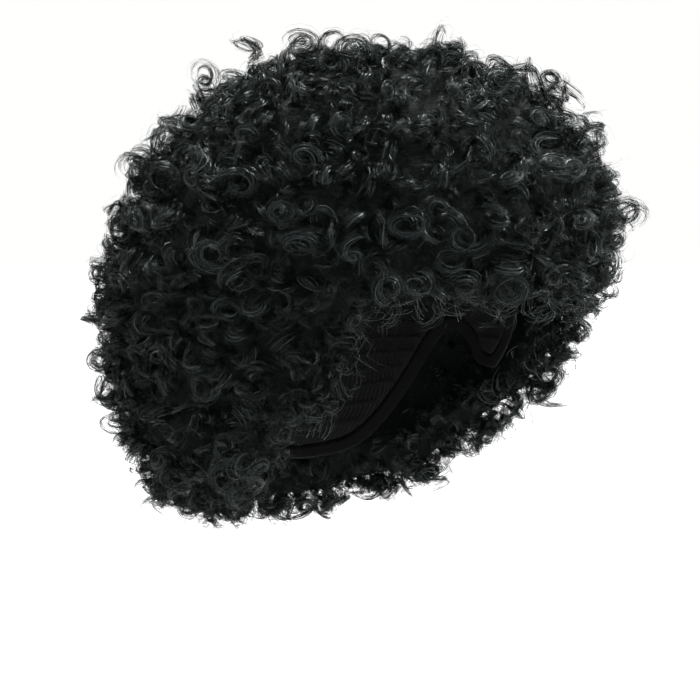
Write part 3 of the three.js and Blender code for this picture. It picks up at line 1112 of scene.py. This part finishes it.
# %% The elastic edge
BAND_LINES = 21
BAND_RIBS = 5
BAND_MARGIN = 0.4  # degrees between the elastic's edges and the band's
HALF_BAND = 1.0  # half the band's thickness, in millimetres, as the next two are
HALF_ELASTIC = 0.7
RIB_HEIGHT = 0.14
EDGE_POWER = 20  # the higher, the squarer the elastic's edges

band_first, band_last = band_span[:, 0] + BAND_MARGIN, band_span[:, 1] - BAND_MARGIN
band_ways, band_downs, band_far = shell(band_only, band_first, band_last, BAND_LINES)
across_band = np.linspace(-1, 1, BAND_LINES)[None, :]
rounded = HALF_ELASTIC * np.sqrt(np.clip(1 - across_band**EDGE_POWER, 0, 1))
rounded = rounded - RIB_HEIGHT * np.cos(across_band * BAND_RIBS * math.pi)
inside = band_far + (HALF_BAND - rounded) * MM
outside = band_far + (HALF_BAND + rounded) * MM
band_net = np.concatenate(
    [
        HEAD_MIDDLE + band_ways * inside[..., None],
        (HEAD_MIDDLE + band_ways * outside[..., None])[:, ::-1],
    ],
    axis=1,
)
band_u = np.broadcast_to(TURNS[:, None] * UV_TURN, band_downs.shape)
band_v = band_downs * UV_DOWN
band_uv = np.concatenate(
    [np.stack([band_u, band_v], axis=-1), np.stack([band_u, band_v[:, ::-1]], axis=-1)], axis=1
)
ring_lines = 2 * BAND_LINES
band_faces = ring_faces(len(TURNS), ring_lines)
here = np.arange(len(TURNS)) * ring_lines
beside = np.roll(here, -1)
closing = np.stack([here + ring_lines - 1, here, beside, beside + ring_lines - 1], axis=1)
band = mesh_object(
    "edge_elastic",
    band_net.reshape(-1, 3),
    np.concatenate([band_faces, closing]),
    [elastic],
    band_uv.reshape(-1, 2),
)
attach(band, "root")
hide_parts("edge_band")
print("elastic:", len(band.data.polygons), "faces")


# %% [markdown]
# ## Studio
#
# The wig is held up in the air, as on a head, over a pale floor. Places are given from the wig as the
# camera sees it: to the right, back and up.

# %% Where the camera looks
AZIMUTH = math.radians(-45)
RIGHT = np.array([math.cos(AZIMUTH), math.sin(AZIMUTH), 0.0])
FORWARD = np.array([-math.sin(AZIMUTH), math.cos(AZIMUTH), 0.0])
LOOK_AT = np.array([0, 0, -118 * MM]) - RIGHT * 17 * MM


def studio_point(right, back, up):
    """A place given from the wig, as the camera sees it."""
    return LOOK_AT + RIGHT * right + FORWARD * back + np.array([0, 0, up])


# %% [markdown]
# A floor that is lit enough to look white throws so much light up that black hair turns grey. The Light
# Path node tells the camera's own rays from the others, so the floor is pale where it is seen and dimmer
# where it only lights the hair.

# %% The floor
FLOOR_LEVEL = -0.45
FLOOR_RADII = (0.5, 30)
DIM_TONE, PALE_TONE = 0.25, 0.8
DIM_GLOW, PALE_GLOW = 0.5, 0.9


def make_floor():
    """A wide round floor, as bright as the backdrop, so that the horizon doesn't show."""
    around = np.radians(np.arange(0, 360, 5))
    rings = [
        studio_point(far * math.cos(angle), far * math.sin(angle), FLOOR_LEVEL)
        for far in FLOOR_RADII
        for angle in around
    ]
    count = len(around)
    middle = np.arange(count)
    inner = np.stack([middle, np.roll(middle, -1), np.roll(middle, -1) + count, middle + count], axis=1)
    centre = np.full(count, 2 * count)
    core = np.stack([centre, middle, np.roll(middle, -1)], axis=1)
    material = bpy.data.materials.new("pale floor")
    material.use_nodes = True
    shader = material.node_tree.nodes["Principled BSDF"]
    shader.inputs["Roughness"].default_value = 0.9
    shader.inputs["Specular IOR Level"].default_value = 0.1
    shader.inputs["Emission Color"].default_value = (1, 1, 0.99, 1)
    seen = material.node_tree.nodes.new("ShaderNodeLightPath")
    tone = material.node_tree.nodes.new("ShaderNodeMix")
    tone.data_type = "RGBA"
    tone.inputs["A"].default_value = (DIM_TONE, DIM_TONE, DIM_TONE, 1)
    tone.inputs["B"].default_value = (PALE_TONE, PALE_TONE, PALE_TONE, 1)
    glow = material.node_tree.nodes.new("ShaderNodeMapRange")
    glow.inputs["To Min"].default_value = DIM_GLOW
    glow.inputs["To Max"].default_value = PALE_GLOW
    link = material.node_tree.links.new
    link(seen.outputs["Is Camera Ray"], tone.inputs["Factor"])
    link(seen.outputs["Is Camera Ray"], glow.inputs["Value"])
    link(tone.outputs["Result"], shader.inputs["Base Color"])
    link(glow.outputs["Result"], shader.inputs["Emission Strength"])
    outer_floor = mesh_object("floor_outer", np.array(rings), inner, [material])
    middle_point = studio_point(0, 0, FLOOR_LEVEL)
    inner_floor = mesh_object("floor_inner", np.array([*rings, middle_point]), core, [material])
    return outer_floor, inner_floor


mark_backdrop(*make_floor())

# %% [markdown]
# Large round lamps give soft light with no hard shadows. The key lamp at the right and the lamp above
# bring out the sheen, the fill lamp stands in front, and a weak one at the left keeps the shade open.

# %% The lamps
def make_lamp(name, place, size, power, target=LOOK_AT):
    """A round area lamp that points at the wig. size is in metres and power in watts."""
    light = bpy.data.lights.new(name, "AREA")
    light.shape = "DISK"
    light.size = size
    light.energy = power
    lamp = bpy.data.objects.new(name, light)
    bpy.context.scene.collection.objects.link(lamp)
    lamp.location = place
    lamp.rotation_euler = (Vector(target) - Vector(place)).to_track_quat("-Z", "Y").to_euler()
    return lamp


make_lamp("key", studio_point(1.7, -0.2, 1.3), 0.7, 34)
make_lamp("top", studio_point(0.0, 0.4, 1.9), 1.0, 44)
make_lamp("fill", studio_point(0.9, -1.6, 0.4), 2.0, 8)
make_lamp("left", studio_point(-1.8, 0.4, -0.2), 1.4, 2)

# %% [markdown]
# The backdrop is white to the camera and a little dimmer to everything else, as the floor is.

# %% The backdrop
FELT_STRENGTH = 0.72

world = bpy.data.worlds.new("studio")
world.use_nodes = True
seen = world.node_tree.nodes["Background"]
seen.inputs["Color"].default_value = (1, 1, 0.99, 1)
seen.inputs["Strength"].default_value = 1.0
felt = world.node_tree.nodes.new("ShaderNodeBackground")
felt.inputs["Color"].default_value = (1, 1, 1, 1)
felt.inputs["Strength"].default_value = FELT_STRENGTH
path = world.node_tree.nodes.new("ShaderNodeLightPath")
choose = world.node_tree.nodes.new("ShaderNodeMixShader")
world.node_tree.links.new(path.outputs["Is Camera Ray"], choose.inputs["Fac"])
world.node_tree.links.new(felt.outputs[0], choose.inputs[1])
world.node_tree.links.new(seen.outputs[0], choose.inputs[2])
world.node_tree.links.new(choose.outputs[0], world.node_tree.nodes["World Output"].inputs["Surface"])
scene = bpy.context.scene
scene.world = world
scene.view_settings.view_transform = "Standard"

# %% [markdown]
# The camera stands half-way between the face and the right ear, a little above the wig's middle. The lens
# follows from how much of the wig one pixel shows.

# %% The camera
CAMERA_DISTANCE = 1.5
CAMERA_RISE = math.radians(3)
IMAGE_SIZE = 700
PIXEL = 0.61 * MM
SENSOR = 36

camera_data = bpy.data.cameras.new("camera")
camera_data.lens = SENSOR * CAMERA_DISTANCE / (IMAGE_SIZE * PIXEL)
camera_data.sensor_width = SENSOR
camera = bpy.data.objects.new("camera", camera_data)
scene.collection.objects.link(camera)
camera.location = studio_point(
    0, -CAMERA_DISTANCE * math.cos(CAMERA_RISE), CAMERA_DISTANCE * math.sin(CAMERA_RISE)
)
camera.rotation_euler = (Vector(LOOK_AT) - camera.location).to_track_quat("-Z", "Y").to_euler()
scene.camera = camera
print("camera lens, mm:", round(camera_data.lens, 1))

# %% [markdown]
# ## The size and the triangles
#
# The triangles of every mesh are counted, and how far the strands stand proud of the CAD form is printed.
# The strands may stand a little proud of the CAD form, and no more.

# %% Finish
depsgraph = bpy.context.evaluated_depsgraph_get()
triangles_in_all = 0
for obj in scene.objects:
    if obj.type == "MESH":
        evaluated = obj.evaluated_get(depsgraph).to_mesh()
        evaluated.calc_loop_triangles()
        triangles_in_all += len(evaluated.loop_triangles)
print("triangles in all:", triangles_in_all)
bounds_at_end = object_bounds()
proud_below = [round((a - b) / MM, 1) for a, b in zip(bounds_at_start[0], bounds_at_end[0])]
proud_above = [round((b - a) / MM, 1) for a, b in zip(bounds_at_start[1], bounds_at_end[1])]
print("proud of the CAD form, in mm:", proud_below, proud_above)
